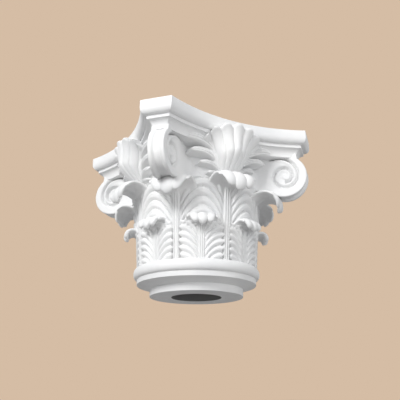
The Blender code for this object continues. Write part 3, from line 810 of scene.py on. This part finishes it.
def moulded_white():
    """Matt white coating with faint mottling and a fine grain, and painted shade on the wall of the
    bore.
    """
    material = bpy.data.materials.new("moulded_white")
    material.use_nodes = True
    nodes = material.node_tree.nodes
    link = material.node_tree.links.new
    shader = nodes["Principled BSDF"]
    shader.inputs["Metallic"].default_value = 0.0
    shader.inputs["Specular IOR Level"].default_value = COAT_SPECULAR
    place = nodes.new("ShaderNodeTexCoord")
    mottle = noise_texture(nodes, MOTTLE_SCALE, MOTTLE_DETAIL)
    tone = nodes.new("ShaderNodeValToRGB")
    dark, light = tone.color_ramp.elements
    dark.position = COAT_DARK_FROM
    dark.color = COAT_DARK
    light.position = COAT_LIGHT_FROM
    light.color = COAT_LIGHT
    shine = nodes.new("ShaderNodeMapRange")
    shine.inputs["To Min"].default_value = COAT_SMOOTHEST
    shine.inputs["To Max"].default_value = COAT_ROUGHEST
    grain = noise_texture(nodes, GRAIN_SCALE, GRAIN_DETAIL)
    swell = noise_texture(nodes, SWELL_SCALE, SWELL_DETAIL)
    fine = bump(nodes, GRAIN_STRENGTH, GRAIN_HEIGHT)
    broad = bump(nodes, SWELL_STRENGTH, SWELL_HEIGHT)
    coat_with_bore_shade = nodes.new("ShaderNodeMixRGB")
    # The bore's wall gets the painted shade colour, everything else the mottled coat
    coat_with_bore_shade.inputs["Color1"].default_value = BORE_PAINTED_SHADE_COLOUR
    for noise in (mottle, grain, swell):
        link(place.outputs["Object"], noise.inputs["Vector"])
    link(mottle.outputs["Fac"], tone.inputs["Fac"])
    link(mottle.outputs["Fac"], shine.inputs["Value"])
    link(outside_painted_bore_shade(nodes, link, place), coat_with_bore_shade.inputs["Fac"])
    link(tone.outputs["Color"], coat_with_bore_shade.inputs["Color2"])
    link(coat_with_bore_shade.outputs["Color"], shader.inputs["Base Color"])
    link(shine.outputs["Result"], shader.inputs["Roughness"])
    link(grain.outputs["Fac"], fine.inputs["Height"])
    link(swell.outputs["Fac"], broad.inputs["Height"])
    link(broad.outputs["Normal"], fine.inputs["Normal"])
    link(fine.outputs["Normal"], shader.inputs["Normal"])
    return material


def model():
    """Every piece of the capital, by name."""
    short_tips = []
    tall_tips = []
    for i in range(LEAF_COUNT):
        centre = 2 * pi * i / LEAF_COUNT
        tall_tips.append(leaf_tip(CORNER_LEAF if i % 2 else FACE_LEAF, centre))
        short_tips.append(leaf_tip(SHORT_LEAF, centre + pi / LEAF_COUNT))
    corners = [pi / 2 * i + pi / 4 for i in range(4)]
    lower = leaf_sleeve(BELL_BOTTOM - SLEEVE_FOOT_LAP, SLEEVE_SPLIT, 0)
    upper = leaf_sleeve(SLEEVE_SPLIT, SLEEVE_TOP, -1)
    faces = [pi / 2 * i for i in range(4)]
    sprays = [solid for face in faces for side in (-1, 1) for solid in spray(face, side)]
    return (
        piece("capital_core", [turned_core()], 30.0),
        piece("capital_abacus", [abacus()], 25.0),
        piece("capital_short_leaves", [lower] + short_tips, 60.0),
        piece("capital_tall_leaves", [upper] + tall_tips, 60.0),
        piece("capital_volutes", [volute(corner) for corner in corners], 50.0),
        piece("capital_shells", [shell(face) for face in faces] + sprays, 60.0),
    )


def emitting(name, colour):
    """A material that shines evenly in one colour."""
    material = bpy.data.materials.new(name)
    material.use_nodes = True
    nodes = material.node_tree.nodes
    nodes.remove(nodes["Principled BSDF"])
    glow = nodes.new("ShaderNodeEmission")
    glow.inputs["Color"].default_value = colour
    material.node_tree.links.new(glow.outputs["Emission"], nodes["Material Output"].inputs["Surface"])
    return material


def studio_stage():
    """A pale floor below the capital and a plain warm backdrop all round."""
    bpy.ops.mesh.primitive_plane_add(size=FLOOR_SIZE, location=(0, 0, FLOOR_HEIGHT))
    floor = bpy.context.object
    floor.name = "studio_floor"
    ground = bpy.data.materials.new("studio_floor")
    ground.use_nodes = True
    shader = ground.node_tree.nodes["Principled BSDF"]
    shader.inputs["Base Color"].default_value = FLOOR_COLOUR
    shader.inputs["Roughness"].default_value = FLOOR_ROUGHNESS
    floor.data.materials.append(ground)
    bpy.ops.mesh.primitive_uv_sphere_add(radius=BACKDROP_RADIUS, segments=48, ring_count=24)
    wall = bpy.context.object
    wall.name = "studio_backdrop"
    wall.data.materials.append(emitting("studio_backdrop", BACKDROP_COLOUR))
    wall.visible_diffuse = False
    wall.visible_glossy = False
    wall.visible_transmission = False
    wall.visible_shadow = False


def area_light(name, soft):
    """One soft light that looks at the middle of the capital."""
    azimuth = radians(soft.azimuth_deg)
    elevation = radians(soft.elevation_deg)
    target = Vector((0, 0, HEIGHT / 2))
    away = Vector((sin(azimuth) * cos(elevation), -cos(azimuth) * cos(elevation), sin(elevation)))
    data = bpy.data.lights.new(name, "AREA")
    data.size = soft.side
    data.energy = soft.power
    light = bpy.data.objects.new(name, data)
    light.location = target + away * soft.distance
    light.rotation_euler = (-away).to_track_quat("-Z", "Y").to_euler()
    bpy.context.scene.collection.objects.link(light)


def studio_light():
    """A broad key from the front left, a low fill and an even sky."""
    area_light("key", KEY_LIGHT)
    area_light("fill", FILL_LIGHT)
    world = bpy.data.worlds.new("studio")
    world.use_nodes = True
    sky = world.node_tree.nodes["Background"]
    sky.inputs["Color"].default_value = SKY_COLOUR
    sky.inputs["Strength"].default_value = SKY_STRENGTH
    bpy.context.scene.world = world


def photograph_camera():
    """The photograph's camera: low at the front left, looking up under the capital."""
    azimuth = radians(CAMERA_AZIMUTH_DEG)
    bearing = radians(CAMERA_AZIMUTH_DEG + CAMERA_YAW_DEG)
    pitch = radians(CAMERA_PITCH_DEG)
    place = Vector((sin(azimuth) * CAMERA_DISTANCE, -cos(azimuth) * CAMERA_DISTANCE, CAMERA_HEIGHT))
    ahead = Vector((-sin(bearing) * cos(pitch), cos(bearing) * cos(pitch), sin(pitch)))
    right = ahead.cross(Vector((0, 0, 1))).normalized()
    roll = Matrix.Rotation(radians(-CAMERA_ROLL_DEG), 3, ahead)
    right = roll @ right
    up = right.cross(ahead)
    data = bpy.data.cameras.new("camera")
    data.sensor_width = CAMERA_SENSOR
    data.lens = CAMERA_LENS
    camera = bpy.data.objects.new("camera", data)
    camera.matrix_world = Matrix.Translation(place) @ Matrix((right, up, -ahead)).transposed().to_4x4()
    bpy.context.scene.collection.objects.link(camera)
    bpy.context.scene.camera = camera


def main():
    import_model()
    white = moulded_white()
    for item in model():
        item.data.materials.append(white)
        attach(item, "root")
        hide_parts("capital")
    studio_stage()
    studio_light()
    photograph_camera()
    bpy.context.scene.view_settings.view_transform = "Standard"


main()
